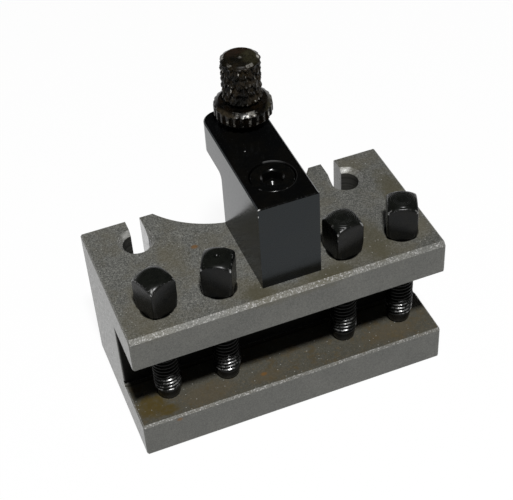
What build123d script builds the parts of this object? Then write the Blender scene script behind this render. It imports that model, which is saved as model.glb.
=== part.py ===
from build123d import *
import os

# Quick-change turning tool holder. Units are millimetres, +Z is up.
# Origin: middle of the body's bottom face.
# X runs along the tool slot, Y from the open front to the back, which hooks on to the tool post.
os.makedirs("parts", exist_ok=True)

# ---------------------------------------------------------------- driving dimensions
running_gap = 0.05  # radial, each thread form left smooth at its major diameter

# holder body, a ground C-section block
body_length = 110.0
body_depth = 55.5
body_height = 55.5
lower_jaw = 14.5
slot_height = 27.7
slot_depth = 21.0
front_chamfer = 1.4  # long top edge over the tool
lip_chamfer = 0.8  # long top edge of the lower jaw
edge_break = 0.5
relief_radius = 1.2  # grinding relief in the slot's lower inner corner
slot_top = lower_jaw + slot_height
half_length = body_length / 2
front_y = -body_depth / 2
back_y = body_depth / 2
slot_wall_y = front_y + slot_depth

# round seat in the back face, for a 70 mm post
seat_radius = 35.0
seat_sink = 16.1  # depth of the seat below the back face
seat_centre_y = back_y - seat_sink + seat_radius

# offset keyhole slots in the back face, mirrored about X = 0
hook_bore_radius = 9.525 / 2
hook_bore_x = 38.5
hook_bore_inset = 11.3  # bore centre from the back face
hook_bore_y = back_y - hook_bore_inset
hook_slot_inner_x = 33.9
hook_slot_outer_x = 39.1
hook_slot_width = hook_slot_outer_x - hook_slot_inner_x
hook_slot_x = (hook_slot_inner_x + hook_slot_outer_x) / 2
hook_countersink = 1.6

# square-head clamp screws, 3/8 inch thread with a 3/8 inch square
thread_radius = 9.525 / 2
tapped_radius = thread_radius + running_gap
clamp_left_inset = 13.2  # outer screws from the body's ends
clamp_right_inset = 10.8
clamp_pitch = 21.35
clamp_setback = 11.7  # from the front face
clamp_turn = (21.5, -28.0, 8.0, -22.5)
clamp_rim_radius = 5.5
clamp_square = 9.525
clamp_corner_round = 0.5
clamp_head_height = 13.0
clamp_top_radius = 4.2
clamp_crown = 1.3  # fall of the turned crown from the flat to the corners
clamp_dimple_radius = 1.0
clamp_dimple_depth = 0.6
clamp_head_gap = 0.15
clamp_tip_gap = 0.10
clamp_tip_length = 4.6  # plain point below the thread
clamp_tip_shoulder_radius = 4.25
clamp_tip_shoulder_height = 1.9
clamp_tip_radius = 3.2
clamp_y = front_y + clamp_setback
clamp_x = (
    clamp_left_inset - half_length,
    clamp_left_inset + clamp_pitch - half_length,
    half_length - clamp_right_inset - clamp_pitch,
    half_length - clamp_right_inset,
)
clamp_head_z = body_height + clamp_head_gap
clamp_shank = clamp_head_z - lower_jaw - clamp_tip_gap

# height bracket, an inverted L bolted on the top jaw
bracket_x = 2.1
bracket_width = 20.4
bracket_setback = 5.3  # from the front face
bracket_foot_depth = 34.2
bracket_rise = 33.2
arm_thickness = 11.6
arm_overhang = 3.0  # past the body's back face
arm_corner_radius = 5.5
arm_root_fillet = 2.5
bracket_break = 0.4
bracket_front_y = front_y + bracket_setback
bracket_back_y = bracket_front_y + bracket_foot_depth
arm_end_y = back_y + arm_overhang
bracket_top = body_height + bracket_rise
arm_bottom = bracket_top - arm_thickness

# socket head cap screw that holds the bracket
cap_setback = 13.3  # from the bracket's front
cap_head_radius = 7.15
cap_head_height = 6.0
cap_sink = 0.3
cap_socket_across_flats = 6.35
cap_socket_depth = 3.6
cap_socket_turn = -17.0
cap_pocket_radius = 7.6
cap_hole_radius = 5.1
cap_engagement = 10.0
cap_tapped_depth = 11.0
cap_y = bracket_front_y + cap_setback
cap_seat_z = bracket_top - cap_sink - cap_head_height

# height-adjusting screw and its knurled lock nut
stud_radius = 7.94 / 2
stud_hole_radius = stud_radius + running_gap
stud_x = 4.85
stud_inset = 8.2  # from the arm's end
stud_tip_z = 60.5
nut_radius = 9.8
nut_height = 8.0
nut_top_radius = 7.95
nut_bevel = 1.0
nut_ribs = 24
nut_rib_depth = 0.75
nut_seat_gap = 0.05
knob_radius = 6.7
knob_length = 15.0
knob_lift = 1.2  # open gap between the knob and the lock nut
knob_top_radius = 5.2
knob_bevel = 0.8
knob_dimple_radius = 0.8
knob_dimple_depth = 0.5
stud_y = arm_end_y - stud_inset
nut_z = bracket_top + nut_seat_gap
knob_z = nut_z + nut_height + knob_lift

# ---------------------------------------------------------------- holder body
with BuildPart() as holder_body:
    with BuildSketch(Plane.YZ.offset(-half_length)):
        with BuildLine():
            Polyline(
                (front_y + edge_break, 0),
                (back_y - edge_break, 0),
                (back_y, edge_break),
                (back_y, body_height - edge_break),
                (back_y - edge_break, body_height),
                (front_y + front_chamfer, body_height),
                (front_y, body_height - front_chamfer),
                (front_y, slot_top + edge_break),
                (front_y + edge_break, slot_top),
                (slot_wall_y, slot_top),
                (slot_wall_y, lower_jaw),
                (front_y + lip_chamfer, lower_jaw),
                (front_y, lower_jaw - lip_chamfer),
                (front_y, edge_break),
                close=True,
            )
        make_face()
    extrude(amount=body_length)
    # the ends are broken all round
    ends = holder_body.faces().filter_by(Axis.X)
    chamfer(ends.edges(), length=edge_break)
    # grinding relief along the slot
    with BuildSketch(Plane.YZ.offset(-half_length)):
        with Locations((slot_wall_y - 0.2, lower_jaw + 0.2)):
            Circle(relief_radius)
    extrude(amount=body_length, mode=Mode.SUBTRACT)
    # round seat for the post
    with BuildSketch(Plane.XY):
        with Locations((0, seat_centre_y)):
            Circle(seat_radius)
    extrude(amount=body_height, mode=Mode.SUBTRACT)
    # keyhole slots: a bore for the round hook and a web slot that runs out at the back
    with BuildSketch(Plane.XY):
        with Locations((-hook_bore_x, hook_bore_y), (hook_bore_x, hook_bore_y)):
            Circle(hook_bore_radius)
        slot_run = back_y + 1 - hook_bore_y
        with Locations(
            (-hook_slot_x, hook_bore_y + slot_run / 2), (hook_slot_x, hook_bore_y + slot_run / 2)
        ):
            Rectangle(hook_slot_width, slot_run)
    extrude(amount=body_height, mode=Mode.SUBTRACT)
    with Locations(
        (-hook_bore_x, hook_bore_y, body_height - hook_countersink / 2),
        (hook_bore_x, hook_bore_y, body_height - hook_countersink / 2),
    ):
        Cone(
            hook_bore_radius,
            hook_bore_radius + hook_countersink,
            hook_countersink,
            mode=Mode.SUBTRACT,
        )
    with Locations(
        (-hook_bore_x, hook_bore_y, hook_countersink / 2),
        (hook_bore_x, hook_bore_y, hook_countersink / 2),
    ):
        Cone(
            hook_bore_radius + hook_countersink,
            hook_bore_radius,
            hook_countersink,
            mode=Mode.SUBTRACT,
        )
    # tapped holes through the top jaw, each with a countersunk mouth
    with BuildSketch(Plane.XY.offset(slot_top)):
        with Locations(*[(x, clamp_y) for x in clamp_x]):
            Circle(tapped_radius)
    extrude(amount=body_height - slot_top, mode=Mode.SUBTRACT)
    rim_depth = clamp_rim_radius - tapped_radius
    with Locations(*[(x, clamp_y, body_height - rim_depth / 2) for x in clamp_x]):
        Cone(tapped_radius, clamp_rim_radius, rim_depth, mode=Mode.SUBTRACT)
    # blind tapped hole for the bracket's cap screw
    with BuildSketch(Plane.XY.offset(body_height - cap_tapped_depth)):
        with Locations((bracket_x, cap_y)):
            Circle(tapped_radius)
    extrude(amount=cap_tapped_depth, mode=Mode.SUBTRACT)

holder_body.part.label = "holder_body"
export_step(holder_body.part, "parts/holder_body.step")

# ---------------------------------------------------------------- clamp screws
# Built once with the underside of the head at Z = 0, then placed four times.
with BuildPart() as clamp_screw:
    with BuildSketch(Plane.XY):
        RectangleRounded(clamp_square, clamp_square, clamp_corner_round)
    extrude(amount=clamp_head_height)
    # turned crown: a cone that only trims the corners of the square
    crown_reach = clamp_square  # clears the corners
    crown_fall = clamp_crown * (crown_reach - clamp_top_radius)
    crown_fall /= clamp_square * 2**0.5 / 2 - clamp_top_radius
    with BuildSketch(Plane.XZ):
        with BuildLine():
            Polyline(
                (clamp_top_radius, clamp_head_height),
                (crown_reach, clamp_head_height),
                (crown_reach, clamp_head_height - crown_fall),
                close=True,
            )
        make_face()
    revolve(axis=Axis.Z, mode=Mode.SUBTRACT)
    # threaded shank with a plain rounded point
    with BuildSketch(Plane.XZ):
        with BuildLine():
            Polyline(
                (0, 0),
                (thread_radius, 0),
                (thread_radius, clamp_tip_length - clamp_shank),
                (clamp_tip_shoulder_radius, clamp_tip_shoulder_height - clamp_shank),
                (clamp_tip_radius, -clamp_shank),
                (0, -clamp_shank),
                close=True,
            )
        make_face()
    revolve(axis=Axis.Z)
    with Locations((0, 0, clamp_head_height - clamp_dimple_depth / 2)):
        Cone(0, clamp_dimple_radius, clamp_dimple_depth, mode=Mode.SUBTRACT)

for number, (x, turn) in enumerate(zip(clamp_x, clamp_turn), start=1):
    placed = clamp_screw.part.moved(Location((x, clamp_y, clamp_head_z), (0, 0, turn)))
    placed.label = f"clamp_screw_{number}"
    export_step(placed, f"parts/clamp_screw_{number}.step")

# ---------------------------------------------------------------- height bracket
with BuildPart() as height_bracket:
    with BuildSketch(Plane.YZ.offset(bracket_x - bracket_width / 2)):
        with BuildLine():
            Polyline(
                (bracket_front_y, body_height),
                (bracket_back_y, body_height),
                (bracket_back_y, arm_bottom),
                (arm_end_y, arm_bottom),
                (arm_end_y, bracket_top),
                (bracket_front_y, bracket_top),
                close=True,
            )
        make_face()
    extrude(amount=bracket_width)
    rear = height_bracket.edges().filter_by(Axis.Z).group_by(Axis.Y)[-1]
    fillet(rear, radius=arm_corner_radius)
    root = height_bracket.edges().filter_by(Axis.X)
    root = root.filter_by_position(Axis.Z, arm_bottom - 0.1, arm_bottom + 0.1).sort_by(Axis.Y)[0]
    fillet(root, radius=arm_root_fillet)
    top = height_bracket.faces().sort_by(Axis.Z)[-1]
    chamfer(top.edges(), length=bracket_break)
    # counterbore and clearance hole for the cap screw
    with BuildSketch(Plane.XY.offset(cap_seat_z)):
        with Locations((bracket_x, cap_y)):
            Circle(cap_pocket_radius)
    extrude(amount=bracket_top - cap_seat_z, mode=Mode.SUBTRACT)
    with BuildSketch(Plane.XY.offset(body_height)):
        with Locations((bracket_x, cap_y)):
            Circle(cap_hole_radius)
    extrude(amount=cap_seat_z - body_height, mode=Mode.SUBTRACT)
    # tapped hole for the height-adjusting screw
    with BuildSketch(Plane.XY.offset(arm_bottom)):
        with Locations((stud_x, stud_y)):
            Circle(stud_hole_radius)
    extrude(amount=arm_thickness, mode=Mode.SUBTRACT)

height_bracket.part.label = "height_bracket"
export_step(height_bracket.part, "parts/height_bracket.step")

# ---------------------------------------------------------------- cap screw
with BuildPart() as bracket_cap_screw:
    with BuildSketch(Plane.XY.offset(body_height - cap_engagement)):
        with Locations((bracket_x, cap_y)):
            Circle(thread_radius)
    extrude(amount=cap_seat_z - body_height + cap_engagement)
    with BuildSketch(Plane.XY.offset(cap_seat_z)):
        with Locations((bracket_x, cap_y)):
            Circle(cap_head_radius)
    extrude(amount=cap_head_height)
    rim = bracket_cap_screw.faces().sort_by(Axis.Z)[-1]
    chamfer(rim.edges(), length=0.6)
    with BuildSketch(Plane.XY.offset(cap_seat_z + cap_head_height - cap_socket_depth)):
        with Locations((bracket_x, cap_y)):
            RegularPolygon(
                cap_socket_across_flats / 2, 6, major_radius=False, rotation=cap_socket_turn
            )
    extrude(amount=cap_socket_depth, mode=Mode.SUBTRACT)

bracket_cap_screw.part.label = "bracket_cap_screw"
export_step(bracket_cap_screw.part, "parts/bracket_cap_screw.step")

# ---------------------------------------------------------------- lock nut
with BuildPart() as lock_nut:
    with BuildSketch(Plane.XZ):
        with BuildLine():
            Polyline(
                (stud_hole_radius, 0),
                (nut_radius - nut_rib_depth, 0),
                (nut_radius, nut_rib_depth),
                (nut_radius, nut_height - nut_bevel),
                (nut_top_radius, nut_height),
                (stud_hole_radius, nut_height),
                close=True,
            )
        make_face()
    revolve(axis=Axis.Z)
    # coarse straight ribs, cut as 90 degree grooves
    with BuildSketch(Plane.XY):
        with PolarLocations(nut_radius, nut_ribs):
            Rectangle(nut_rib_depth * 2**0.5, nut_rib_depth * 2**0.5, rotation=45)
    extrude(amount=nut_height, mode=Mode.SUBTRACT)

lock_nut_placed = lock_nut.part.moved(Location((stud_x, stud_y, nut_z)))
lock_nut_placed.label = "lock_nut"
export_step(lock_nut_placed, "parts/lock_nut.step")

# ---------------------------------------------------------------- height-adjusting screw
with BuildPart() as height_screw:
    with BuildSketch(Plane.XZ):
        with BuildLine():
            Polyline(
                (0, stud_tip_z - knob_z),
                (stud_radius - 1, stud_tip_z - knob_z),
                (stud_radius, stud_tip_z - knob_z + 1),
                (stud_radius, 0),
                (knob_radius - edge_break, 0),
                (knob_radius, edge_break),
                (knob_radius, knob_length - knob_bevel),
                (knob_top_radius, knob_length),
                (0, knob_length),
                close=True,
            )
        make_face()
    revolve(axis=Axis.Z)
    with Locations((0, 0, knob_length - knob_dimple_depth / 2)):
        Cone(0, knob_dimple_radius, knob_dimple_depth, mode=Mode.SUBTRACT)

height_screw_placed = height_screw.part.moved(Location((stud_x, stud_y, knob_z)))
height_screw_placed.label = "height_screw"
export_step(height_screw_placed, "parts/height_screw.step")
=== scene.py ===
import math

import bmesh
import bpy
import numpy as np
from mathutils import Matrix, Vector


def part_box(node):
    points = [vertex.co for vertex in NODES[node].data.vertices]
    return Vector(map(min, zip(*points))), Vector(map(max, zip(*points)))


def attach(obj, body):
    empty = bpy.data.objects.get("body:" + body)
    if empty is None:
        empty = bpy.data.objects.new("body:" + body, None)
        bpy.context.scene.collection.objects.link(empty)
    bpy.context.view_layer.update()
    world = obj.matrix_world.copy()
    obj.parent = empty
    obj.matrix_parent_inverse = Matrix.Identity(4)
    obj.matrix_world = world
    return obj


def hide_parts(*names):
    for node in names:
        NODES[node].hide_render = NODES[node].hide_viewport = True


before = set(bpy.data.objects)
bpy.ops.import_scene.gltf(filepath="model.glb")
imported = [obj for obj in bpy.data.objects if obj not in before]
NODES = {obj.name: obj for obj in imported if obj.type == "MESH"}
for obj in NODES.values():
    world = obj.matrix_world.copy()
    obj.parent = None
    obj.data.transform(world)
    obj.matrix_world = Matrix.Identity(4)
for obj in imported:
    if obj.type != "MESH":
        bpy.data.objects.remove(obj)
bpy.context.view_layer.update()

# Quick-change turning tool holder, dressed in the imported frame.
# Sizes are millimetres in the frame's axes, and MM turns them into metres.

MM = 0.001


def box_of(node):
    """The middle, low corner and high corner of a node's box, in mm."""
    lo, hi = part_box(node)
    return (np.array(lo) + np.array(hi)) / 2 / MM, np.array(lo) / MM, np.array(hi) / MM


def top_of(node):
    """Height of a node's highest point, in mm."""
    return box_of(node)[2][2]


# ---------------------------------------------------------------- driving dimensions

BODY_LOW, BODY_HIGH = box_of("holder_body")[1:]
END_X, FRONT_Y, TOP_Z = BODY_HIGH[0], BODY_LOW[1], BODY_HIGH[2]
JAW_Z, SLOT_TOP_Z, SLOT_WALL_Y = 14.5, 42.2, FRONT_Y + 21.0  # the tool slot's floor, roof and wall
BORE_X, BORE_Y, BORE_R = 38.5, 16.45, 4.76  # the keyholes' round bores
RIM_Z = TOP_Z - 0.5  # their countersunk rims
HOLE_MOUTH_R = 5.5  # the countersunk mouths of the clamp screws' holes
BRACKET_TOP_Z = top_of("height_bracket")
KNOB_TOP_Z = top_of("height_screw")
NUT_BEVEL_Z = top_of("lock_nut") - 1.05
CLAMPS = (1, 2, 3, 4)

# ---------------------------------------------------------------- shader helpers

WHITE = (1, 1, 1)


def rgba(colour):
    """A colour that a socket takes, from three values or from another socket."""
    return colour if isinstance(colour, bpy.types.NodeSocket) else (*colour, 1.0)


class Tree:
    """A short way to write a node tree: most calls add a node and return its output socket."""

    def __init__(self, tree):
        self.nodes, self.links = tree.nodes, tree.links
        self.nodes.clear()

    def add(self, kind, **settings):
        """A new node, with its settings."""
        node = self.nodes.new("ShaderNode" + kind)
        for name, value in settings.items():
            setattr(node, name, value)
        return node

    def set(self, node, socket, value):
        """Links another node's socket to a socket, or writes a plain value in it."""
        if isinstance(value, bpy.types.NodeSocket):
            self.links.new(value, node.inputs[socket])
        else:
            node.inputs[socket].default_value = value

    def math(self, operation, *values):
        node = self.add("Math", operation=operation)
        for i, value in enumerate(values):
            self.set(node, i, value)
        return node.outputs[0]

    def plus(self, a, b):
        return self.math("ADD", a, b)

    def minus(self, a, b):
        return self.math("SUBTRACT", a, b)

    def rest(self, share):
        """What a share leaves of 1."""
        return self.minus(1.0, share)

    def size(self, value):
        """A value without its sign."""
        return self.math("ABSOLUTE", value)

    def times(self, product, *others):
        """The product of all the values."""
        for other in others:
            product = self.math("MULTIPLY", product, other)
        return product

    def most(self, found, *others):
        """The greatest of the values."""
        for other in others:
            found = self.math("MAXIMUM", found, other)
        return found

    def vec(self, operation, a, b=None):
        node = self.add("VectorMath", operation=operation)
        self.set(node, 0, a)
        if b is not None:
            self.set(node, 1, b)
        return node.outputs["Value" if operation == "LENGTH" else "Vector"]

    def split(self, vector):
        node = self.add("SeparateXYZ")
        self.set(node, 0, vector)
        return node.outputs

    def join(self, *parts):
        node = self.add("CombineXYZ")
        for i, part in enumerate(parts):
            self.set(node, i, part)
        return node.outputs[0]

    def ramp(self, value, lo, hi, to_lo=0.0, to_hi=1.0, kind="SMOOTHSTEP"):
        """Turns lo to hi into to_lo to to_hi, and holds the end values beyond them."""
        node = self.add("MapRange", interpolation_type=kind)
        sockets = ("Value", "From Min", "From Max", "To Min", "To Max")
        for socket, setting in zip(sockets, (value, lo, hi, to_lo, to_hi)):
            self.set(node, socket, setting)
        return node.outputs[0]

    def lay(self, under, over, *shares):
        """One colour laid over another, as strongly as the product of the shares."""
        node = self.add("Mix", data_type="RGBA")
        self.set(node, 0, self.times(*shares))
        self.set(node, 6, rgba(under))
        self.set(node, 7, rgba(over))
        return node.outputs[2]


class Metal(Tree):
    """A material's tree round one Principled shader. pos is in metres and place in mm."""

    def __init__(self, name):
        self.mat = bpy.data.materials.new(name)
        self.mat.use_nodes = True
        super().__init__(self.mat.node_tree)
        self.bsdf = self.add("BsdfPrincipled")
        self.set(self.add("OutputMaterial"), "Surface", self.bsdf.outputs[0])
        self.pos = self.add("TexCoord").outputs["Object"]
        self.place = self.vec("DIVIDE", self.pos, (MM, MM, MM))
        self.normal = self.add("NewGeometry").outputs["True Normal"]

    def noise(self, scale, detail=3.0, rough=0.55):
        """Fractal noise, 0 to 1. Scale counts cells in a metre, as one number or as one for each axis."""
        node = self.add("TexNoise")
        at = self.pos
        if isinstance(scale, tuple):
            at, scale = self.vec("MULTIPLY", self.pos, scale), 1.0
        for socket, value in (("Vector", at), ("Scale", scale), ("Detail", detail), ("Roughness", rough)):
            self.set(node, socket, value)
        return node.outputs["Fac"]

    def cells(self, scale):
        """Distance to the nearest of scattered points, in their spacing, with scale of them to a metre."""
        node = self.add("TexVoronoi")
        self.set(node, "Vector", self.pos)
        self.set(node, "Scale", scale)
        return node.outputs["Distance"]

    def bump(self, height, strength, distance, under=None):
        """A normal from a height. Distance is in mm, and under is a normal that this one adds to."""
        node = self.add("Bump")
        self.set(node, "Strength", strength)
        self.set(node, "Distance", distance * MM)
        self.set(node, "Height", height)
        if under is not None:
            self.set(node, "Normal", under)
        return node.outputs[0]

    def spot(self, centre, size, ragged, soft, warp):
        """1 inside an ellipsoid of half-sizes size (mm) round centre (mm), with a ragged soft edge."""
        away = self.vec("DIVIDE", self.vec("SUBTRACT", self.place, tuple(centre)), size)
        wander = self.times(self.minus(warp, 0.5), ragged * 2)
        reach = self.plus(self.vec("LENGTH", away), wander)
        return self.ramp(reach, 1.0 + soft / 2, 1.0 - soft / 2)

    def patches(self, marks, warp):
        """The strongest of several marks, each (centre, half-sizes, raggedness, softness)."""
        return self.most(*(self.spot(*mark, warp) for mark in marks))

    def shade(self, colour, value):
        """Multiplies a colour by a value."""
        return self.vec("MULTIPLY", colour, self.join(value, value, value))

    def wear(self):
        """How worn the mesh says that each point is."""
        return self.add("Attribute", attribute_name="wear").outputs["Fac"]

    def flatness(self):
        """1 where a face is square to an axis, less where it is a broken or rounded edge."""
        return self.most(*(self.size(part) for part in self.split(self.normal)))

    def finish(self, sockets):
        """Sets the shader's sockets and returns the material."""
        for socket, value in sockets.items():
            self.set(self.bsdf, socket, value)
        return self.mat


def dress(ob, mat):
    """Gives an object one material."""
    ob.data.materials.clear()
    ob.data.materials.append(mat)


# ---------------------------------------------------------------- marks on the body
# each mark is (centre), (half-sizes), raggedness, softness

STAINS = [
    ((-46, -20, TOP_Z), (9, 9, 3), 0.5, 0.9),
    ((-41, -9, TOP_Z), (8, 4, 3), 0.5, 0.9),
    ((0, -27, TOP_Z), (18, 3, 3), 0.5, 0.9),
    ((31, -22, TOP_Z), (14, 5, 3), 0.5, 0.9),
    ((49, -14, TOP_Z), (5, 9, 3), 0.5, 0.9),
    ((-14, -20, TOP_Z), (7, 5, 3), 0.5, 0.9),
    ((-30, 4, TOP_Z), (5, 9, 3), 0.6, 1.0),
    ((44, 22, TOP_Z), (5, 4, 3), 0.6, 1.0),
]
DARK_STAINS = [
    ((33.5, -16, TOP_Z), (5, 10, 3), 0.6, 1.0),
    ((-10, -24, TOP_Z), (5, 4, 3), 0.6, 1.0),
    ((51, 2, TOP_Z), (4, 12, 3), 0.6, 1.0),
    ((14, -25, TOP_Z), (8, 3, 3), 0.6, 1.0),
]
JAW_STAINS = [
    ((-9, -23, JAW_Z), (6, 2.5, 2), 0.6, 0.9),
    ((-30, -22, JAW_Z), (9, 4, 2), 0.6, 0.9),
    ((38, -22, JAW_Z), (9, 4, 2), 0.6, 0.9),
]
YELLOW_STAINS = [
    ((-49, -20, JAW_Z), (5.0, 5.0, 2), 0.6, 0.8),
    ((-45, -23.5, JAW_Z), (3.5, 2.2, 2), 0.6, 0.8),
]
RUST = [
    ((-21.7, 5.4, TOP_Z), (1.1, 0.9, 0.8), 0.5, 0.9),
    ((-42.3, FRONT_Y, 12.8), (1.0, 0.7, 0.7), 0.4, 0.9),
    ((-9.5, -22, JAW_Z), (1.0, 0.7, 0.7), 0.5, 0.9),
]
# the keyholes' rims carry painted highlights at their rears, and the right one two painted glints
KEYHOLE_RIM_HIGHLIGHTS = [
    ((39.9, 21.2, RIM_Z), (3.2, 1.0, 1.0), 0.3, 0.8),
    ((-40.6, 20.4, RIM_Z), (1.6, 1.6, 1.0), 0.3, 0.8),
]
KEYHOLE_RIM_GLINTS = [
    ((40.5, 21.3, RIM_Z + 0.1), (0.8, 0.35, 0.6), 0.4, 0.6),
    ((38.9, 21.6, RIM_Z + 0.2), (0.35, 0.25, 0.5), 0.4, 0.6),
]

# ---------------------------------------------------------------- ground steel

# the body's colours, as linear light
STEEL_DARK, STEEL_PALE = (0.136, 0.137, 0.125), (0.160, 0.160, 0.145)
OIL_FILM = (0.128, 0.117, 0.084)
STAIN = (0.118, 0.103, 0.062)
DARK_STAIN = (0.078, 0.070, 0.040)
JAW_BROWN, JAW_TAN = (0.070, 0.065, 0.047), (0.092, 0.066, 0.028)
JAW_GOLD = (0.160, 0.125, 0.070)
JAW_STAIN = (0.110, 0.084, 0.046)
POOLED_OIL = (0.080, 0.056, 0.012)
RUST_SPOT, RUST_BLOOM = (0.19, 0.088, 0.018), (0.110, 0.078, 0.036)
# painted shade colours: near black for the slot and the clamp screws' holes, dark for the keyholes' bores
SLOT_AND_HOLE_SHADE = (0.006, 0.006, 0.005)
DRILLED_BORE_SHADE = (0.030, 0.029, 0.026)
TORN_EDGE, GLINTING_EDGE = (0.27, 0.265, 0.25), (0.60, 0.59, 0.58)
GRIT_SPECK = (0.45, 0.45, 0.42)
WIPED = (0.40, 0.40, 0.40)
# painted highlight and glint colours for the keyholes' rims
RIM_HIGHLIGHT = (0.55, 0.55, 0.53)
RIM_GLINT = (0.85, 0.85, 0.82)


def steel_grain_and_front_shade(t, grain, fleck, up):
    """The bare colour, speckled as a coarse wheel leaves it, with painted shade on the faces that look to
    the front, and on top a little darker towards the front edge and the right.
    """
    x, y, _ = t.split(t.place)
    # painted shade: faces that look to the front are coloured darker
    front = t.ramp(t.split(t.normal)[1], -0.90, -0.98, 1.0, 0.89)
    mottle = t.ramp(t.noise(95, 4, 0.6), 0.3, 0.7)
    base = t.lay(STEEL_DARK, STEEL_PALE, mottle)
    strength = t.plus(0.42, t.times(up, 0.63))
    for grit in (t.ramp(grain, 0.34, 0.66, -0.28, 0.26), t.ramp(fleck, 0.36, 0.64, -0.36, 0.30)):
        base = t.shade(base, t.plus(1.0, t.times(grit, strength)))
    base = t.shade(base, front)
    for fall in (t.ramp(x, -10, 35, 0.0, 0.15), t.ramp(y, -18, -25, 0.0, 0.10)):
        base = t.shade(base, t.rest(t.times(up, fall)))
    return base


def stained(t, base, up, warp):
    """Oil films, stains and rust, mostly on the faces that look up."""
    z = t.split(t.place)[2]
    film = t.ramp(t.noise(120, 4, 0.65), 0.42, 0.66)
    base = t.lay(base, OIL_FILM, film, 0.42, up)
    base = t.lay(base, STAIN, t.patches(STAINS, warp), 0.38)
    base = t.lay(base, DARK_STAIN, t.patches(DARK_STAINS, warp), 0.72)
    # the lower jaw is browner, with specks of gold
    jaw = t.times(up, t.ramp(z, JAW_Z + 5.5, JAW_Z + 1.5))
    base = t.lay(base, JAW_BROWN, jaw, 0.76)
    base = t.lay(base, JAW_TAN, jaw, t.ramp(t.noise(230, 5, 0.7), 0.50, 0.68), 0.70)
    base = t.lay(base, JAW_GOLD, jaw, t.ramp(t.noise(950, 3, 0.8), 0.56, 0.68), 0.60)
    base = t.lay(base, JAW_STAIN, t.patches(JAW_STAINS, warp), 0.45)
    pooled = t.ramp(t.noise(650, 4, 0.7), 0.34, 0.56, 0.62, 0.95)
    base = t.lay(base, POOLED_OIL, t.patches(YELLOW_STAINS, warp), pooled)
    return t.lay(base, RUST_SPOT, t.patches(RUST, warp), 0.75)


def slot_inside(t):
    """1 on the slot's wall, roof and grinding relief, short of the body's ends."""
    x, y, z = t.split(t.place)
    wall = t.times(t.ramp(y, FRONT_Y + 1.75, FRONT_Y + 9.75), t.ramp(z, JAW_Z + 0.2, JAW_Z + 0.7))
    relief = t.times(t.ramp(y, SLOT_WALL_Y - 2.25, SLOT_WALL_Y - 1.05), t.ramp(z, JAW_Z - 1, JAW_Z - 0.5))
    below_roof = t.ramp(z, SLOT_TOP_Z + 1.8, SLOT_TOP_Z - 0.4)
    short = t.ramp(t.size(x), END_X - 0.1, END_X - 0.4)
    in_front = t.math("LESS_THAN", y, SLOT_WALL_Y + 3.75)
    return t.times(t.most(wall, relief), in_front, below_roof, short)


def screw_rims(t):
    """1 round each clamp screw's hole and in it."""
    x, y, z = t.split(t.place)
    plan = t.join(x, y, 0.0)
    rims = []
    for k in CLAMPS:
        mid = box_of(f"clamp_screw_{k}")[0]
        away = t.vec("LENGTH", t.vec("SUBTRACT", plan, (mid[0], mid[1], 0.0)))
        rims.append(t.ramp(away, HOLE_MOUTH_R + 0.4, HOLE_MOUTH_R + 0.1))
    return t.times(t.most(*rims), t.ramp(z, SLOT_TOP_Z - 2.2, SLOT_TOP_Z - 0.2))


def keyhole_bores(t):
    """1 on the walls of the keyholes' round bores."""
    x, y, _ = t.split(t.place)
    away = t.join(t.minus(t.size(x), BORE_X), t.minus(y, BORE_Y), 0.0)
    upright = t.ramp(t.size(t.split(t.normal)[2]), 0.10, 0.02)
    return t.times(upright, t.ramp(t.vec("LENGTH", away), BORE_R + 0.19, BORE_R + 0.09))


def hook_neck(t, across, bores):
    """1 on the walls of the left keyhole's neck, which the post's hook wipes bright."""
    x, y, _ = t.split(t.place)
    left_keyhole = t.times(t.ramp(t.size(x), 50, 49), t.ramp(x, 1, -1), t.ramp(y, 10, 14))
    return t.times(across, left_keyhole, t.rest(bores))


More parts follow.
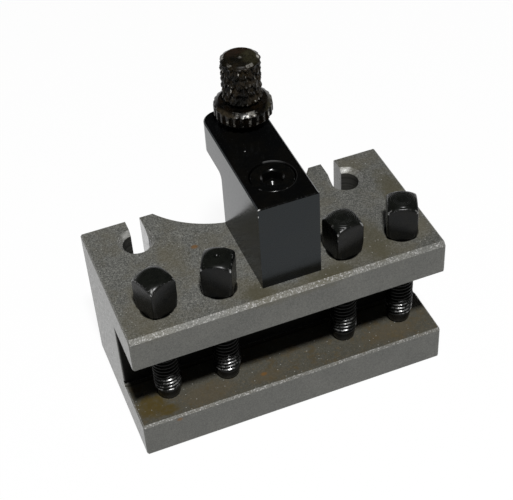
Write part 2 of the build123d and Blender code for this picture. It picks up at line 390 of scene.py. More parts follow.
def ground_steel():
    """The body: oiled, stained and rubbed steel, ground all over."""
    t = Metal("ground_steel")
    y = t.split(t.place)[1]
    nx, _, nz = t.split(t.normal)
    up = t.ramp(nz, 0.6, 0.9)
    across = t.ramp(t.size(nx), 0.90, 0.98)
    warp = t.noise(420, 4)
    grain = t.noise(1500, 2, 0.7)
    fleck = t.noise(2600, 1, 0.5)
    base = stained(t, steel_grain_and_front_shade(t, grain, fleck, up), up, warp)
    # painted shade: the slot's inside and the clamp screws' holes and rims are coloured near black, and the
    # keyholes' bores are coloured dark, where shade falls; the bores keep their drill marks
    dark = t.most(slot_inside(t), screw_rims(t))
    base = t.lay(base, SLOT_AND_HOLE_SHADE, dark, 0.96)
    bores = keyhole_bores(t)
    drill_marks = t.ramp(t.noise((30, 30, 1500), 2, 0.7), 0.35, 0.65, 0.25, 1.8)
    base = t.lay(base, t.shade(DRILLED_BORE_SHADE, drill_marks), bores, 0.80)
    # worn edges, torn and glinting
    edge = t.times(t.ramp(t.flatness(), 0.95, 0.80), t.ramp(t.size(nz), 0.05, 0.15), t.rest(dark))
    torn = t.ramp(t.noise(1900, 2, 0.8), 0.46, 0.60)
    glint = t.ramp(t.noise(1900, 1, 0.5), 0.59, 0.68)
    base = t.lay(base, TORN_EDGE, edge, t.plus(t.times(torn, 0.48), 0.04))
    base = t.lay(base, GLINTING_EDGE, edge, glint, 0.42)
    # bright specks, where grit has dented the faces
    some = t.ramp(t.noise(420, 1), 0.47, 0.53)
    base = t.lay(base, GRIT_SPECK, t.ramp(t.cells(640), 0.13, 0.08), some, up, 0.85)
    neck = hook_neck(t, across, bores)
    base = t.lay(base, WIPED, neck, 0.8)
    # painted highlights and glints on the rear of the keyholes' rims
    base = t.lay(base, RIM_HIGHLIGHT, t.patches(KEYHOLE_RIM_HIGHLIGHTS, warp), 0.42)
    base = t.lay(base, RIM_GLINT, t.patches(KEYHOLE_RIM_GLINTS, warp), 0.85)
    rusty = t.ramp(t.noise(700, 4, 0.75), 0.60, 0.72)
    base = t.lay(base, RUST_BLOOM, up, rusty, t.ramp(y, 0, -20, 0.15, 0.50))
    # the sawn and ground ends are smoother than the other faces
    dull = t.minus(t.ramp(t.noise(600, 3), 0.2, 0.8, 0.42, 0.54), t.times(across, 0.17))
    lines_along_x = t.noise((60, 1800, 1800), 2, 0.6)
    height = t.plus(t.plus(grain, t.times(fleck, 0.6)), t.times(lines_along_x, 0.35))
    ground = t.bump(t.times(height, t.rest(t.times(across, 0.6))), 0.35, 0.12)
    return t.finish({
        "Base Color": base,
        "Metallic": t.plus(t.times(t.rest(dark), 0.22), t.times(neck, 0.45)),
        "Specular IOR Level": t.minus(0.5, t.times(dark, 0.42)),
        "Roughness": t.minus(dull, t.times(neck, 0.08)),
        "Normal": t.bump(t.times(t.noise(2300, 3, 0.8), edge), 0.4, 0.2, ground),
    })


# ---------------------------------------------------------------- black oxide

BARE_STEEL = (0.55, 0.55, 0.54)
HANDLED_STEEL = (0.52, 0.50, 0.45)

# lighter patches, each a mark and its colour: on the knob's top a painted reflection of its turned face, on
# the nut's bevel plain lighter patches to its left and right
KNOB_TOP_SHEEN = [
    (((8.0, 21.4, KNOB_TOP_Z), (2.8, 4.4, 1.0), 0.5, 0.9), (0.026, 0.024, 0.013)),
    (((4.0, 26.2, KNOB_TOP_Z), (4.6, 2.2, 1.0), 0.5, 0.9), (0.017, 0.010, 0.006)),
]
NUT_BEVEL_PATCHES = [
    (((13.5, 18.5, NUT_BEVEL_Z), (4.0, 8.0, 0.9), 0.4, 0.6), (0.034, 0.030, 0.018)),
    (((-4.0, 17.5, NUT_BEVEL_Z), (4.0, 5.0, 0.9), 0.4, 0.6), (0.030, 0.024, 0.015)),
]
# bright nicks on the bracket's edges and top
NICKS = [
    ((-8.1, 17.5, BRACKET_TOP_Z), (0.20, 0.45, 0.25), 0.3, 0.6),
    ((-8.1, 14.5, BRACKET_TOP_Z), (0.20, 0.35, 0.25), 0.3, 0.6),
    ((-7.9, -22.2, BRACKET_TOP_Z - 0.1), (0.75, 0.22, 0.25), 0.4, 0.6),
    ((-8.1, -22.4, BRACKET_TOP_Z - 2.7), (0.22, 0.22, 0.4), 0.3, 0.6),
    ((-1.2, 6.0, BRACKET_TOP_Z), (0.15, 0.15, 0.15), 0.3, 0.6),
]
POCKET_RIM_R = 7.68  # just outside the cap screw's pocket


def black_oxide(name, dark, brown, rough, spec, worn, bright, grain=1400, bump=0.25, up_face_colour=None, lighter_patches=()):
    """Chemically blackened steel, which shows bare metal where the mesh's own wear is high."""
    t = Metal(name)
    base = t.lay(dark, brown, t.ramp(t.noise(260, 4, 0.7), 0.42, 0.62))
    # faces that look up take a lighter colour
    if up_face_colour:
        up = t.ramp(t.split(t.normal)[2], 0.55, 0.90)
        base = t.lay(base, up_face_colour, up, t.ramp(t.noise(600, 4, 0.7), 0.35, 0.65, 0.5, 1.0))
    # lighter patches laid over the colour; on the knob's top they are a painted reflection
    for mark, colour in lighter_patches:
        patchiness = t.ramp(t.noise(900, 3, 0.7), 0.35, 0.62, 0.25, 1.0)
        base = t.lay(base, colour, t.spot(*mark, t.noise(900, 3)), patchiness)
    patchy = t.plus(t.times(t.noise(1300, 4, 0.8), 0.6), t.times(t.noise(330, 2), 0.4))
    patchy = t.ramp(patchy, 0.36, 0.64, 0.30, 0.70, kind="LINEAR")
    rubbed = t.ramp(t.noise(700, 4, 0.8), 0.68, 0.84, 0.0, 0.035)
    bare = t.most(t.times(t.ramp(t.plus(patchy, t.wear()), 0.90, 1.16), worn), rubbed)
    dull = t.ramp(t.noise(500, 3), 0.2, 0.8, *rough)
    return t.finish({
        "Base Color": t.lay(base, bright, bare),
        "Metallic": bare,
        "Specular IOR Level": spec,
        "Roughness": t.minus(dull, t.times(bare, 0.10)),
        "Normal": t.bump(t.noise(grain, 3, 0.65), bump, 0.08),
    })


def pocket_rim_highlight(t):
    """How much painted highlight the rim of the cap screw's pocket gets, most at its rear."""
    x, y, z = t.split(t.place)
    cap = box_of("bracket_cap_screw")[0]
    off = t.vec("SUBTRACT", t.join(x, y, 0.0), (cap[0], cap[1], 0.0))
    right, back, _ = t.split(off)
    rim = t.ramp(t.size(t.minus(t.vec("LENGTH", off), POCKET_RIM_R)), 0.16, 0.06)
    on_top = t.ramp(z, BRACKET_TOP_Z - 0.7, BRACKET_TOP_Z - 0.3)
    return t.times(rim, on_top, t.ramp(right, -0.6, 0.2, 0.02, 1.0), t.ramp(back, 4.0, 7.2, 0.04, 0.34))


def bracket_black():
    """The bracket: smooth black oxide with brushed reflections and a few bright nicks."""
    t = Metal("black_oxide_bracket")
    _, ny, nz = t.split(t.normal)
    base = t.lay((0.0016, 0.0017, 0.0018), (0.0034, 0.0030, 0.0022), t.ramp(t.noise(70, 4, 0.6), 0.35, 0.7))
    # bare metal shows faintly along the top edges and brightly at the nicks, and a painted highlight in the
    # same pale colour lies on the rear of the pocket's rim
    torn = t.ramp(t.noise(1500, 3, 0.8), 0.50, 0.68)
    edge = t.times(t.ramp(t.flatness(), 0.93, 0.80), torn, t.ramp(nz, 0.3, 0.6))
    base = t.lay(base, (0.30, 0.30, 0.30), t.most(t.times(edge, 0.06), pocket_rim_highlight(t)))
    base = t.lay(base, (0.60, 0.60, 0.58), t.patches(NICKS, t.noise(900, 3)))
    scratched = t.ramp(t.noise((250, 900, 900), 3, 0.6), 0.25, 0.75, 0.13, 0.21)
    front = t.ramp(ny, -0.90, -0.98)
    return t.finish({
        "Base Color": base,
        "Specular IOR Level": 0.30,
        "Specular Tint": (0.80, 0.92, 1.0, 1.0),
        "Roughness": t.plus(scratched, t.times(front, 0.09)),
        "Normal": t.bump(t.noise((1500, 300, 1500), 2, 0.6), 0.08, 0.05),
    })


STEEL = ground_steel()
BRACKET = bracket_black()
SCREW = black_oxide(
    "black_oxide_screws", (0.0020, 0.0023, 0.0024), (0.0044, 0.0042, 0.0034), (0.21, 0.34),
    spec=0.17, worn=0.8, bright=BARE_STEEL, up_face_colour=(0.0072, 0.0080, 0.0066),
)
CAP = black_oxide(
    "black_oxide_cap", (0.0014, 0.0016, 0.0016), (0.0030, 0.0028, 0.0022), (0.15, 0.21),
    spec=0.30, worn=0.7, bright=BARE_STEEL, bump=0.10,
)
KNOB = black_oxide(
    "black_oxide_knob", (0.0018, 0.0015, 0.0009), (0.018, 0.013, 0.007), (0.22, 0.34),
    spec=0.11, worn=0.75, bright=HANDLED_STEEL, grain=2400, bump=0.22,
    up_face_colour=(0.0040, 0.0036, 0.0022), lighter_patches=KNOB_TOP_SHEEN,
)
NUT = black_oxide(
    "black_oxide_nut", (0.0014, 0.0012, 0.0009), (0.0050, 0.0032, 0.0016), (0.20, 0.32),
    spec=0.20, worn=0.75, bright=HANDLED_STEEL, grain=2400, bump=0.22, lighter_patches=NUT_BEVEL_PATCHES,
)

dress(NODES["holder_body"], STEEL)
dress(NODES["height_bracket"], BRACKET)

# ---------------------------------------------------------------- mesh helpers

TURN = 2 * math.pi
CREST_FLAT, FLANK_SHARE, CREST_SOFTNESS = 0.10, 0.74, 0.35
THREAD_DEPTH = 0.55  # of the pitch
THREAD_GAP = 0.02  # the crests stay this far inside the solids


def circle(count):
    """Equal angles round one turn."""
    return np.linspace(0, TURN, count, endpoint=False)


def eased(share, softness):
    """A slope from 0 to 1 with its two ends rounded, as much as softness says."""
    return softness * share * share * (3 - 2 * share) + (1 - softness) * share


def ring(theta, radius, z, wear=0.0):
    """One ring of points round the Z axis, in mm: columns x, y, z and wear."""
    radius, z, wear = (np.broadcast_to(v, theta.shape) for v in (radius, z, wear))
    return np.stack([radius * np.cos(theta), radius * np.sin(theta), z, wear], 1)


def turned(theta, profile):
    """One ring for each row of a profile: radius, height and, where metal shows, wear."""
    return [ring(theta, *row) for row in profile]


def lathe_marks(theta, radii, crest_z, groove_z, wear):
    """Fine turned rings on a flat end, crest and groove by turns."""
    return [ring(theta, radius, groove_z if k % 2 else crest_z, wear) for k, radius in enumerate(radii)]


def surface(name, rings, at, closed=True, smooth_angle=38):
    """A surface through stacked rings of equal count, moved to at (mm), with its wear as an attribute.

    Its ends are capped, or with closed=False the last ring is joined to the first, as round a bore.
    """
    n = len(rings[0])
    points = np.concatenate(rings)
    faces = []
    for r in range(len(rings) - 1):
        a, b = r * n, (r + 1) * n
        faces += [(a + i, a + (i + 1) % n, b + (i + 1) % n, b + i) for i in range(n)]
    last = (len(rings) - 1) * n
    if closed:
        points = np.vstack([points, rings[0].mean(0), rings[-1].mean(0)])
        low, high = len(points) - 2, len(points) - 1
        faces += [(low, (i + 1) % n, i) for i in range(n)]
        faces += [(high, last + i, last + (i + 1) % n) for i in range(n)]
    else:
        faces += [(last + i, last + (i + 1) % n, (i + 1) % n, i) for i in range(n)]
    mesh = bpy.data.meshes.new(name)
    mesh.from_pydata(((points[:, :3] + np.array(at)) * MM).tolist(), [], faces)
    mesh.attributes.new("wear", "FLOAT", "POINT").data.foreach_set("value", points[:, 3].astype(np.float32))
    ob = bpy.data.objects.new(name, mesh)
    bpy.context.scene.collection.objects.link(ob)
    mesh.shade_smooth()
    mesh.set_sharp_from_angle(angle=math.radians(smooth_angle))
    return ob


def joined(a, b):
    """Adds b's mesh to a's and removes b."""
    bm = bmesh.new()
    bm.from_mesh(a.data)
    bm.from_mesh(b.data)
    bm.to_mesh(a.data)
    bm.free()
    bpy.data.objects.remove(b)
    return a


def finish_piece(ob, node, body, mat):
    """Dresses a mesh and lets it stand for its node, on its body."""
    dress(ob, mat)
    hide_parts(node)
    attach(ob, body)


def thread_shape(theta, z, pitch, minor, major):
    """Radius and upper-flank share of a right-hand V thread at height z."""
    phase = (z / pitch - theta / TURN) % 1.0
    slope = np.clip((1 - np.abs(phase - 0.5) * 2 - CREST_FLAT) / FLANK_SHARE, 0, 1)
    upper_flank = np.clip((phase - 0.52) * 12, 0, 1) * np.clip((0.90 - phase) * 12, 0, 1)
    return minor + (major - minor) * eased(slope, CREST_SOFTNESS), upper_flank


# ---------------------------------------------------------------- clamp screws
# 3/8 inch, 16 threads to the inch; the heads are a little larger than the solids', as in the photo

PITCH = 1.5875
SCREW_R = 9.525 / 2
R_MAJOR, R_MINOR = SCREW_R - THREAD_GAP, SCREW_R - THREAD_DEPTH * PITCH
THREAD_START = 0.37  # how far each screw's thread starts above the one before
THREAD_FROM, THREAD_TO = 3.5, -0.4  # from the tip, and from the head's underside
THREAD_GROWS, GROWTH = 3.9, 1.5  # where the thread starts to grow, and over what length
RUBBED_TO, RUBBED_FADE = 15.0, 4.0  # how far up from the tip it is rubbed, and its fade
# height above the tip and radius of the rounded point
POINT = (
    (0.0, 1.6), (0.0, 2.7), (0.05, 3.05), (0.28, 3.38), (0.8, 3.72), (1.5, 3.98), (2.3, 4.13), (3.1, 4.19),
)
POINT_R = POINT[-1][1]

HEAD_TURN = (21.5, -28.0, 8.0, -22.5)
HEAD_HEIGHT, HEAD_TOP = 13.0, 13.6
SQUARE, CORNER = 10.1 / 2, 0.5
CORNER_REACH = SQUARE * math.sqrt(2) - CORNER * (math.sqrt(2) - 1)
CROWDING = 0.19  # radians
HEAD_FOOT_ROWS, HEAD_FLAT_ROWS, DOME_ROWS = (0.0, 0.3, 0.6, 0.9, 1.2), (0.35, 0.6, 0.85), 34
FOOT_R, FOOT_SLOPE = 5.3, 1.0
FLATS_FROM, FLATS_END = 1.5, 0.9  # above the underside, and below the dome
# how far in from the flats, how far below the dome, and wear
HEAD_EDGE = (
    (0.0, 0.85, 0.0), (0.03, 0.55, 0.12), (0.09, 0.30, 0.32), (0.20, 0.12, 0.38), (0.36, 0.02, 0.34),
)
CROWN_R, CROWN_FALL, CROWN_CURVE, CROWN_EDGE = 3.3, 2.0, 1.6, 0.55
RIPPLE, RIPPLE_WAVES = 0.05, 10.5
DIMPLE_R, DIMPLE_DEPTH, NO_DIMPLE = 0.9, 0.5, 0.02
MARK_DEPTH, MARK_STEP = 0.03, 0.16
TURNED_HEADS = (3, 4)
DIMPLED_HEADS = (2,)


def square_radius(theta, half, corner):
    """Polar radius of a square of half-width half with rounded corners, theta from a face's middle."""
    off = np.abs((theta + math.pi / 4) % (math.pi / 2) - math.pi / 4)
    radius = half / np.cos(off)
    inner = half - corner
    rounded = off > np.arctan2(inner, half)
    along = inner * (np.cos(off[rounded]) + np.sin(off[rounded]))
    radius[rounded] = along + np.sqrt(np.maximum(along * along - 2 * inner * inner + corner * corner, 0))
    return radius


def near_corner(radius, reach):
    """1 at the square's corners, falling to 0 where the radius is reach (mm) less."""
    return np.clip(1 - (CORNER_REACH - radius) / reach, 0, 1)


def dome(radius):
    """Height of the head's domed top above its underside."""
    outward = np.clip((radius - CROWN_R) / (CORNER_REACH - CROWN_R), 0, 1)
    return HEAD_TOP - CROWN_FALL * outward**CROWN_CURVE


def head_rings(turn, is_turned, dimpled, n=160):
    """The square head, underside at z = 0: round at its foot, domed on top, some with a centre mark."""
    base = circle(n)
    # points crowd at the corners, where the section bends
    section = base + CROWDING * np.sin(4 * base)
    square = square_radius(section, SQUARE, CORNER)
    theta = section + math.radians(turn)
    corner = near_corner(square, 0.30)
    rings = [ring(theta, square * 0.5, 0.0)]
    for z in HEAD_FOOT_ROWS:
        rings.append(ring(theta, np.minimum(square, FOOT_R + z * FOOT_SLOPE), z, corner * 0.10))
    flats = dome(square) - FLATS_END - FLATS_FROM
    for k in HEAD_FLAT_ROWS:
        rings.append(ring(theta, square, FLATS_FROM + flats * k, corner * (0.10 + k * 0.25)))
    # the dome meets the flats in a soft worn edge
    for inward, below, wear in HEAD_EDGE:
        edge = square - inward
        rings.append(ring(theta, edge, dome(edge) - below, wear + corner * 0.22))
    # wear fades from the dome's edge to its middle
    edge_wear = 0.27 + near_corner(square, 0.9) * 0.25
    for k in np.linspace(0.12, 0.95, DOME_ROWS):
        radius = (square - CROWN_EDGE) * (1 - k) + DIMPLE_R * 2 * k
        ripple = RIPPLE * np.sin(radius * RIPPLE_WAVES) if is_turned else 0.0
        rings.append(ring(theta, radius, dome(radius) + ripple, edge_wear * (1 - k) ** 1.5))
    if is_turned:
        radii = np.arange(DIMPLE_R * 2, DIMPLE_R + 0.1, -MARK_STEP)
        rings += lathe_marks(theta, radii, HEAD_TOP, HEAD_TOP - MARK_DEPTH, 0.08)
    sunk = DIMPLE_DEPTH if dimpled else NO_DIMPLE
    return rings + turned(theta, [
        (DIMPLE_R, HEAD_TOP, 0.25 if dimpled else 0.05),
        (DIMPLE_R * 0.8, HEAD_TOP - sunk * 0.35),
        (DIMPLE_R * 0.3, HEAD_TOP - sunk),
    ])


def shank_rings(length, start, n=96):
    """The threaded shank from its rounded point up, head's underside at z = 0."""
    theta = circle(n)
    rings = turned(theta, [(radius, above - length) for above, radius in POINT])
    for z in np.arange(THREAD_FROM - length, THREAD_TO, PITCH / 12):
        thread, flank = thread_shape(theta, z - start, PITCH, R_MINOR, R_MAJOR)
        # the thread grows out of the point, and its lowest turns are rubbed bright
        grow = np.clip((z + length - THREAD_GROWS) / GROWTH, 0, 1)
        rubbed = np.clip((RUBBED_TO - z - length) / RUBBED_FADE, 0.25, 1)
        rings.append(ring(theta, POINT_R * (1 - grow) + thread * grow, z, flank * grow * rubbed * 0.42))
    return rings + turned(theta, [(R_MINOR, -0.25), (R_MINOR, 0.02)])


for i, turn in zip(CLAMPS, HEAD_TURN):
    node = f"clamp_screw_{i}"
    mid, lo, hi = box_of(node)
    under_head = (mid[0], mid[1], hi[2] - HEAD_HEIGHT)
    shank = shank_rings(under_head[2] - lo[2], THREAD_START * i)
    head = head_rings(turn, i in TURNED_HEADS, i in DIMPLED_HEADS)
    screw = surface(f"{node}_detail", shank, under_head, smooth_angle=75)
    screw = joined(screw, surface(f"head_{i}", head, under_head))
    finish_piece(screw, node, f"clamp_{i}", SCREW)

# ---------------------------------------------------------------- bracket cap screw

CAP_R, CAP_HEIGHT, CAP_RIM = 7.15, 6.0, 0.45
CAP_SHANK_R = SCREW_R - 0.1
CAP_TIP_R, CAP_TIP = SCREW_R - 1.2, 1.0
SOCKET_FLATS, SOCKET_DEPTH, SOCKET_MOUTH, SOCKET_TURN = 6.35, 3.6, 3.85, -17.0
DRILL_R, DRILL_TIP_R = 2.3, 0.2
MOUTH_SLOPE = 0.72


def hex_radius(theta, half):
    """Polar radius of a hexagon that is 2 half wide over its flats, theta from a flat's middle."""
    off = (theta + math.pi / 6) % (math.pi / 3) - math.pi / 6
    return half / np.cos(off)


def cap_rings(length, n=144):
    """Low-head cap screw from its tip up, top of the head at z = 0."""
    theta = circle(n)
    hexagon = hex_radius(theta - math.radians(SOCKET_TURN), SOCKET_FLATS / 2)
    rings = turned(theta, [
        (CAP_TIP_R, -length),
        (CAP_SHANK_R, CAP_TIP - length),
        (CAP_SHANK_R, -CAP_HEIGHT),
        (CAP_R - 0.2, -CAP_HEIGHT),
        (CAP_R, 0.2 - CAP_HEIGHT),
    ])
    # the rim is rounded, and rubbed at its middle
    for angle in np.linspace(0, math.pi / 2, 7):
        drop, pull = CAP_RIM * (1 - math.sin(angle)), CAP_RIM * (1 - math.cos(angle))
        rings.append(ring(theta, CAP_R - pull, -drop, 0.34 if 0.5 < angle < 1.3 else 0.05))
    return rings + turned(theta, [
        (CAP_R - 0.7, 0.0),
        (SOCKET_MOUTH + 0.15, 0.0),
        (SOCKET_MOUTH, -0.03, 0.12),
        (hexagon + 0.03, -MOUTH_SLOPE * (SOCKET_MOUTH - hexagon) - 0.03, 0.1),
        (hexagon, -1.0),
        (hexagon, 0.1 - SOCKET_DEPTH),
        (hexagon * 0.95, -SOCKET_DEPTH),
        (DRILL_R, -SOCKET_DEPTH - 0.02, 0.1),
        (DRILL_TIP_R, -SOCKET_DEPTH - MOUTH_SLOPE * (DRILL_R - DRILL_TIP_R), 0.3),
    ])


mid, lo, hi = box_of("bracket_cap_screw")
cap = surface("bracket_cap_screw_detail", cap_rings(hi[2] - lo[2]), (mid[0], mid[1], hi[2]), smooth_angle=25)
finish_piece(cap, "bracket_cap_screw", "holder", CAP)

# ---------------------------------------------------------------- height screw

KNOB_R, KNOB_LEN = 7.1, 15.0
KNOB_END_R, KNOB_BEVEL, KNOB_RIM = 5.3, 1.4, 0.66
KNOB_FOOT, KNOB_FOOT_SLOPE = 0.75, 0.9
KNURL_STARTS, KNURL_AXIAL, KNURL_DEPTH, BUMP_SHIFT = 14, 6.7, 1.45, 0.6
COARSE_SHARE, FINE_SHARE, BUMP_SHARE = 0.47, 0.22, 0.31
FINE_TURN, FINE_SHIFT = 0.11, 0.9
KNURL_SHINE = 1.15
STUD_R, STUD_PITCH = 7.94 / 2, 1.411


def scatter(i, j):
    """A fixed number from 0 to 1 for each pair of whole numbers."""
    v = np.sin(i * 12.9898 + j * 78.233) * 43758.5453
    return v - np.floor(v)


def uneven(least, chance):
    """A share between least and 1, by chance."""
    return least + (1 - least) * chance


def diamond(theta, z, starts, axial):
    """Height, 0 to 1, of a knurl of two crossed families of V grooves, and each diamond's own chance."""
    wander = 0.10 * np.sin(3 * theta + 0.8 * z) + 0.08 * np.sin(7 * theta - 1.3 * z + 1)
    u = starts * theta / TURN + z / axial + wander
    v = starts * theta / TURN - z / axial - wander
    chance = scatter(np.floor(u) % starts, np.floor(u) - np.floor(v))
    peak = np.minimum(*(np.clip(1 - np.abs(w % 1.0 - 0.5) * 2, 0, 1) for w in (u, v)))
    return np.clip(peak * 1.5, 0, 1), chance


def knurl(theta, z):
    """Height, 0 to 1, and wear of the knob's side at height z."""
    # the knurling wheel tracked twice, so finer diamonds lie over the coarse ones
    coarse, chance = diamond(theta, z, KNURL_STARTS, KNURL_AXIAL)
    fine, fine_chance = diamond(theta + FINE_TURN, z + FINE_SHIFT, 2 * KNURL_STARTS, KNURL_AXIAL / 2)
    bumps = 0.5 - 0.5 * math.cos(2 * TURN * (z + BUMP_SHIFT) / KNURL_AXIAL)
    height = COARSE_SHARE * coarse * uneven(0.7, chance)
    height = height + FINE_SHARE * fine * uneven(0.4, fine_chance) + BUMP_SHARE * bumps
    ridge = np.clip(coarse - 0.80, 0, 1) + np.clip(fine - 0.62, 0, 1) * 1.5
    return height, ridge * uneven(0.2, fine_chance) * uneven(0.4, chance) * KNURL_SHINE


def knob_rings(n=480, rows=132):
    """The knurled knob from its underside at z = 0 up, bevelled at both ends."""
    theta = circle(n)
    rings = turned(theta, [(2.0, 0.0), (4.6, 0.0), (5.3, 0.0)])
    for z in np.linspace(0.02, KNOB_LEN - KNOB_RIM, rows):
        height, shine = knurl(theta, z)
        low_bevel = KNOB_R - KNOB_FOOT + z * KNOB_FOOT_SLOPE
        high_bevel = KNOB_END_R + (KNOB_LEN - z) * KNOB_BEVEL
        side = np.minimum(KNOB_R - KNURL_DEPTH * (1 - height), min(low_bevel, high_bevel))
        rings.append(ring(theta, side, z, shine))
    # the upper bevel glints unevenly, and the end is turned, with a centre mark
    glint = 0.24 + 0.40 * scatter(np.floor(KNURL_STARTS * theta / math.pi), 3)
    for out in (0.85, 0.45, 0.2, 0.0):
        rings.append(ring(theta, KNOB_END_R + out, KNOB_LEN - out / KNOB_BEVEL - 0.02, glint))
    rings.append(ring(theta, KNOB_END_R - 0.25, KNOB_LEN, 0.05))
    radii = np.arange(KNOB_END_R - 0.6, 0.9, -0.22)
    rings += lathe_marks(theta, radii, KNOB_LEN - 0.01, KNOB_LEN - MARK_DEPTH, 0.03)
    return rings + turned(theta, [
        (0.8, KNOB_LEN - MARK_DEPTH, 0.1),
        (0.5, KNOB_LEN - 0.2, 0.45),
        (0.2, KNOB_LEN - 0.35, 0.45),
    ])


def stud_rings(low, high, n=56):
    """The threaded stud under the knob, from its tip at low to high."""
    theta = circle(n)
    minor = STUD_R - THREAD_DEPTH * STUD_PITCH
    rings = turned(theta, [(1.2, low), (STUD_R - 1.0, low), (STUD_R - 0.9, low + 0.06)])
    for z in np.arange(low + 0.3, high - 0.2, STUD_PITCH / 10):
        thread, flank = thread_shape(theta, z, STUD_PITCH, minor, STUD_R - THREAD_GAP)
        rings.append(ring(theta, np.minimum(thread, STUD_R - 0.95 + (z - low)), z, flank * 0.4))
    return rings + [ring(theta, minor, high)]


mid, lo, hi = box_of("height_screw")
knob_at = (mid[0], mid[1], hi[2] - KNOB_LEN)
stud = surface("height_screw_detail", stud_rings(lo[2] - knob_at[2], 0.1), knob_at, smooth_angle=75)
knob = surface("knob", knob_rings(), knob_at, smooth_angle=60)
finish_piece(joined(stud, knob), "height_screw", "height_screw", KNOB)

# ---------------------------------------------------------------- lock nut

NUT_RIBS, NUT_RIB_DEPTH, NUT_R, NUT_HEIGHT = 24, 0.75, 9.78, 8.0
NUT_FOOT_SLOPE = 1.2  # the ribs' lower ends
NUT_BEVEL, NUT_BEVEL_CURVE, NUT_TOP_R, NUT_BORE = 1.15, 1.15, 7.95, 4.02
NUT_HUB_R, NUT_HUB_HEIGHT = 6.4, 2.4
NUT_LIP = 0.12  # how far the ribs draw in under the bevel
RUN_OUT, RUN_OUT_SHARE = 0.75, 0.28
NUT_HIGHLIGHT_SIDE = math.radians(-105)  # the side that the camera sees, where extra bare metal on the bevel is a painted highlight


def nut_rings(n=480):
    """The lock nut from its bore round, underside at z = 0: a plain hub, coarse ribs and a bevel, worn all
    round and given a painted highlight at the front.
    """
    theta = circle(n)
    phase = (NUT_RIBS * theta / TURN) % 1.0
    rib = eased(np.clip((1 - np.abs(phase - 0.5) * 2) * 1.5 - 0.1, 0, 1), 0.5)
    groove = NUT_RIB_DEPTH * (1 - rib)
    top = NUT_HEIGHT
    # from the bore out to a plain hub, which rests on the arm under the ribs
    rings = turned(theta, [
        (NUT_BORE, top - 0.3),
        (NUT_BORE, 0.3),
        (NUT_BORE + 0.3, 0.0),
        (NUT_HUB_R - 0.3, 0.0),
        (NUT_HUB_R, 0.3),
        (NUT_HUB_R, NUT_HUB_HEIGHT - 0.2),
        (NUT_HUB_R + 0.2, NUT_HUB_HEIGHT),
    ])
    for z in (0.0, 0.25, 0.5, 0.8):
        foot = NUT_R - 1.0 + z * NUT_FOOT_SLOPE
        rings.append(ring(theta, np.minimum(NUT_R - groove, foot), NUT_HUB_HEIGHT + z))
    for z in np.linspace(NUT_HUB_HEIGHT + 1.2, top - NUT_BEVEL - 0.9, 7):
        rings.append(ring(theta, NUT_R - groove, z, rib**4 * 0.45))
    # the ribs run out into a smooth bevel, turned slightly round and worn all round, with extra bare metal
    # on the side facing the camera as a painted highlight
    for left in np.linspace(1.0, 0.0, 6):
        radius = NUT_R - NUT_LIP * (1 - left) - groove * (RUN_OUT_SHARE + (1 - RUN_OUT_SHARE) * left)
        rings.append(ring(theta, radius, top - NUT_BEVEL - 0.15 - RUN_OUT * left, rib**4 * 0.2))
    # painted highlight: the bevel's bare metal is strongest on the side facing the camera and lamp
    wear_and_front_highlight = 0.15 + 0.30 * np.clip((np.cos(theta - NUT_HIGHLIGHT_SIDE) - 0.80) / 0.16, 0, 1)
    for left in np.linspace(1.0, 0.0, 12):
        ribbed = RUN_OUT_SHARE * groove * np.clip((left - 0.55) / 0.45, 0, 1)
        radius = NUT_TOP_R + (NUT_R - NUT_LIP - NUT_TOP_R) * left - ribbed
        rings.append(ring(theta, radius, top - NUT_BEVEL * left**NUT_BEVEL_CURVE, wear_and_front_highlight))
    rings += turned(theta, [(NUT_TOP_R - 0.1, top, 0.1), (NUT_TOP_R - 0.4, top - 0.02)])
    return rings + [ring(theta, radius, top - 0.03) for radius in (7.0, 6.5, 5.5, NUT_BORE + 0.5)]


mid, lo, hi = box_of("lock_nut")
nut = surface("lock_nut_detail", nut_rings(), (mid[0], mid[1], lo[2]), closed=False)
finish_piece(nut, "lock_nut", "lock_nut", NUT)

# ---------------------------------------------------------------- floor, light and camera
# places and sizes from here on are metres, apart from the sensor's width in mm

FLOOR_R, FLOOR_Z, FLOOR_GLOW = 6.0, -0.00005, 0.93
DULL_PAPER = (0.22, 0.22, 0.22)
HORIZON_LOW, HORIZON_HIGH, WHITE_BELOW, DARK_ABOVE = 0.18, 0.42, 0.94, 0.012
FILL = 0.05
KEY_TARGET = Vector((0, 0, 0.04))
KEY_DIRECTION = Vector((-0.06, -0.41, 0.91)).normalized()
KEY_DISTANCE, KEY_SIZE, KEY_POWER = 1.3, 0.12, 17.5
IMAGE_WIDTH, FOCAL_PIXELS, SENSOR = 513, 1257.934, 36.0
CAMERA_PLACE = Vector((-0.101809, -0.292947, 0.339541))
CAMERA_AHEAD = Vector((0.23650, 0.69204, -0.68202)).normalized()
CAMERA_DOWN = Vector((-0.28586, -0.62131, -0.72956)).normalized()
NEAREST, FARTHEST = 0.01, 50


def floor_paper():
    """White paper to the camera and in reflections, with the object's shadow kept faintly."""
    mat = bpy.data.materials.new("floor_paper")
    mat.use_nodes = True
    t = Tree(mat.node_tree)
    path = t.add("LightPath").outputs
    seen = t.most(path["Is Camera Ray"], path["Is Glossy Ray"], path["Is Transmission Ray"])
    # the paper is kept dull for the light it would throw back at the object
    paper = t.add("BsdfDiffuse")
    t.set(paper, "Color", t.lay(DULL_PAPER, WHITE, seen))
    white = t.add("Emission")
    t.set(white, "Color", rgba(WHITE))
    both = t.add("MixShader")
    for i, part in enumerate((t.times(seen, FLOOR_GLOW), paper.outputs[0], white.outputs[0])):
        t.set(both, i, part)
    t.set(t.add("OutputMaterial"), "Surface", both.outputs[0])
    mat.cycles.emission_sampling = "NONE"
    return mat


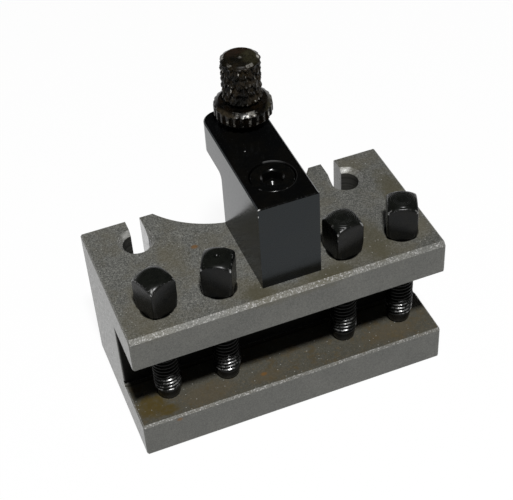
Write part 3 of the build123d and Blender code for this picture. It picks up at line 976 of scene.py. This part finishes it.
def backdrop_floor():
    """A wide disc just under the object."""
    bm = bmesh.new()
    bmesh.ops.create_circle(bm, cap_ends=True, segments=96, radius=FLOOR_R)
    mesh = bpy.data.meshes.new("floor")
    bm.to_mesh(mesh)
    bm.free()
    ob = bpy.data.objects.new("floor", mesh)
    ob.location.z = FLOOR_Z
    bpy.context.scene.collection.objects.link(ob)
    dress(ob, floor_paper())


def studio_world():
    """White to the camera. Reflections see white low down and a dark ceiling; the fill light is weak."""
    world = bpy.data.worlds.new("studio")
    bpy.context.scene.world = world
    world.use_nodes = True
    t = Tree(world.node_tree)
    path = t.add("LightPath").outputs
    height = t.split(t.add("TexCoord").outputs["Generated"])[2]
    low = t.ramp(height, HORIZON_HIGH, HORIZON_LOW, DARK_ABOVE, WHITE_BELOW)
    mirror = t.most(path["Is Glossy Ray"], path["Is Transmission Ray"])
    shown = t.plus(t.times(mirror, low), t.times(t.rest(mirror), FILL))
    back = t.add("Background")
    t.set(back, "Color", rgba(WHITE))
    t.set(back, "Strength", t.most(path["Is Camera Ray"], shown))
    t.set(t.add("OutputWorld"), "Surface", back.outputs[0])
    world.cycles.sampling_method = "NONE"


def disc_lamp(name, place, target, size, power):
    """A round lamp at place that faces target."""
    data = bpy.data.lights.new(name, "AREA")
    data.shape = "DISK"
    data.size = size
    data.energy = power
    ob = bpy.data.objects.new(name, data)
    ob.location = place
    ob.rotation_euler = (target - place).to_track_quat("-Z", "Y").to_euler()
    bpy.context.scene.collection.objects.link(ob)


def photo_camera():
    """The camera that was fitted to the photo."""
    data = bpy.data.cameras.new("camera")
    data.sensor_fit = "HORIZONTAL"
    data.sensor_width = SENSOR
    data.lens = FOCAL_PIXELS / IMAGE_WIDTH * SENSOR
    data.clip_start = NEAREST
    data.clip_end = FARTHEST
    right = CAMERA_DOWN.cross(CAMERA_AHEAD).normalized()
    down = CAMERA_AHEAD.cross(right).normalized()
    pose = Matrix((right, -down, -CAMERA_AHEAD)).transposed().to_4x4()
    pose.translation = CAMERA_PLACE
    camera = bpy.data.objects.new("camera", data)
    camera.matrix_world = pose
    bpy.context.scene.collection.objects.link(camera)
    bpy.context.scene.camera = camera


backdrop_floor()
studio_world()
disc_lamp("key", KEY_TARGET + KEY_DIRECTION * KEY_DISTANCE, KEY_TARGET, KEY_SIZE, KEY_POWER)
photo_camera()
bpy.context.scene.view_settings.view_transform = "Standard"
